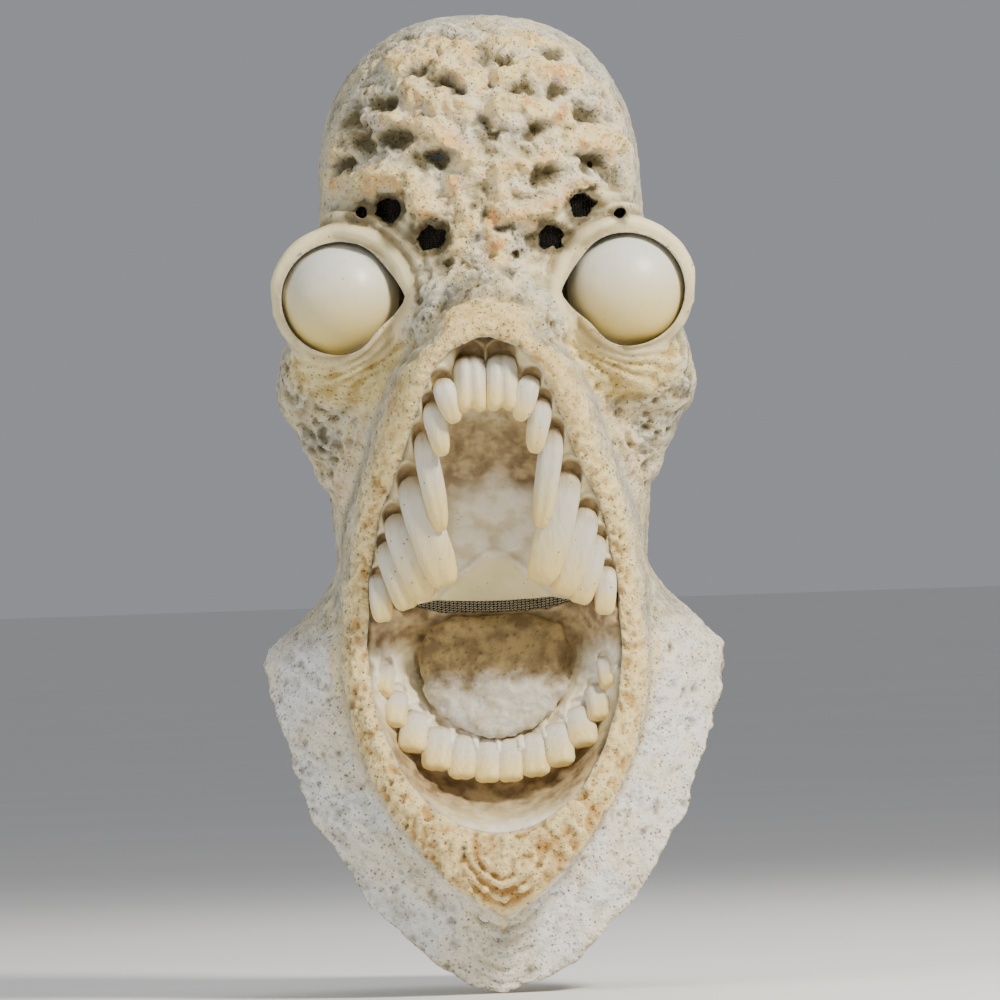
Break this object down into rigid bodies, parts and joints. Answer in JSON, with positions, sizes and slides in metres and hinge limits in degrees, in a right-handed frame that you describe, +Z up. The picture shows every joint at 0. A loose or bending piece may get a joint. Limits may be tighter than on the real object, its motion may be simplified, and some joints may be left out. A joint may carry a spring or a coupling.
{
  "type": "creature mask",
  "caption": "Full-head latex creature mask with bulging eyes, a long gaping mouth full of teeth, a soft tongue and a neck bib.",
  "frame": {"origin": "the point of the crown pad's underside that bears on the crown of the wearer's head, on the head's vertical axis", "axes": "+Z up, the face looks along -Y, +X to the viewer's right"},
  "size_m": [0.264, 0.2799, 0.5509],
  "materials": {
    "skin_latex": "matt cast latex, porous",
    "mouth_latex": "matt cast latex, brown wash",
    "tongue_latex": "matt, pitted",
    "tooth_latex": "satin",
    "eye_resin": "satin",
    "black_mesh": "matt woven mesh",
    "foam": "open-cell foam"
  },
  "bodies": {
    "mask": {"mask_skin": "skin_latex", "mouth_bowl": "mouth_latex", "palate": "mouth_latex", "left_eye_dome": "eye_resin", "right_eye_dome": "eye_resin", "left_vision_mesh": "black_mesh", "right_vision_mesh": "black_mesh", "throat_mesh": "black_mesh", "crown_pad": "foam", "brow_pad": "foam", "nape_pad": "foam", "left_temple_pad": "foam", "right_temple_pad": "foam", "upper_incisor_left": "tooth_latex", "upper_incisor_right": "tooth_latex", "upper_lateral_left": "tooth_latex", "upper_lateral_right": "tooth_latex", "upper_canine_left": "tooth_latex", "upper_canine_right": "tooth_latex", "upper_fang_left": "tooth_latex", "upper_fang_right": "tooth_latex", "upper_molar_1_left": "tooth_latex", "upper_molar_1_right": "tooth_latex", "upper_molar_2_left": "tooth_latex", "upper_molar_2_right": "tooth_latex", "upper_molar_3_left": "tooth_latex", "upper_molar_3_right": "tooth_latex", "upper_molar_4_left": "tooth_latex", "upper_molar_4_right": "tooth_latex", "lower_incisor_left": "tooth_latex", "lower_incisor_right": "tooth_latex", "lower_lateral_left": "tooth_latex", "lower_lateral_right": "tooth_latex", "lower_canine_left": "tooth_latex", "lower_canine_right": "tooth_latex", "lower_premolar_left": "tooth_latex", "lower_premolar_right": "tooth_latex", "lower_molar_1_left": "tooth_latex", "lower_molar_1_right": "tooth_latex", "lower_molar_2_left": "tooth_latex", "lower_molar_2_right": "tooth_latex"},
    "soft_tongue": {"tongue": "tongue_latex"}
  },
  "joints": [
    {"name": "tongue_flex", "type": "hinge", "parent": "mask", "child": "soft_tongue", "pos_m": [0, -0.09, -0.33], "axis": [-1, 0, 0], "range_deg": [0, 25], "stiffness_Nm_per_rad": 0.05}
  ]
}
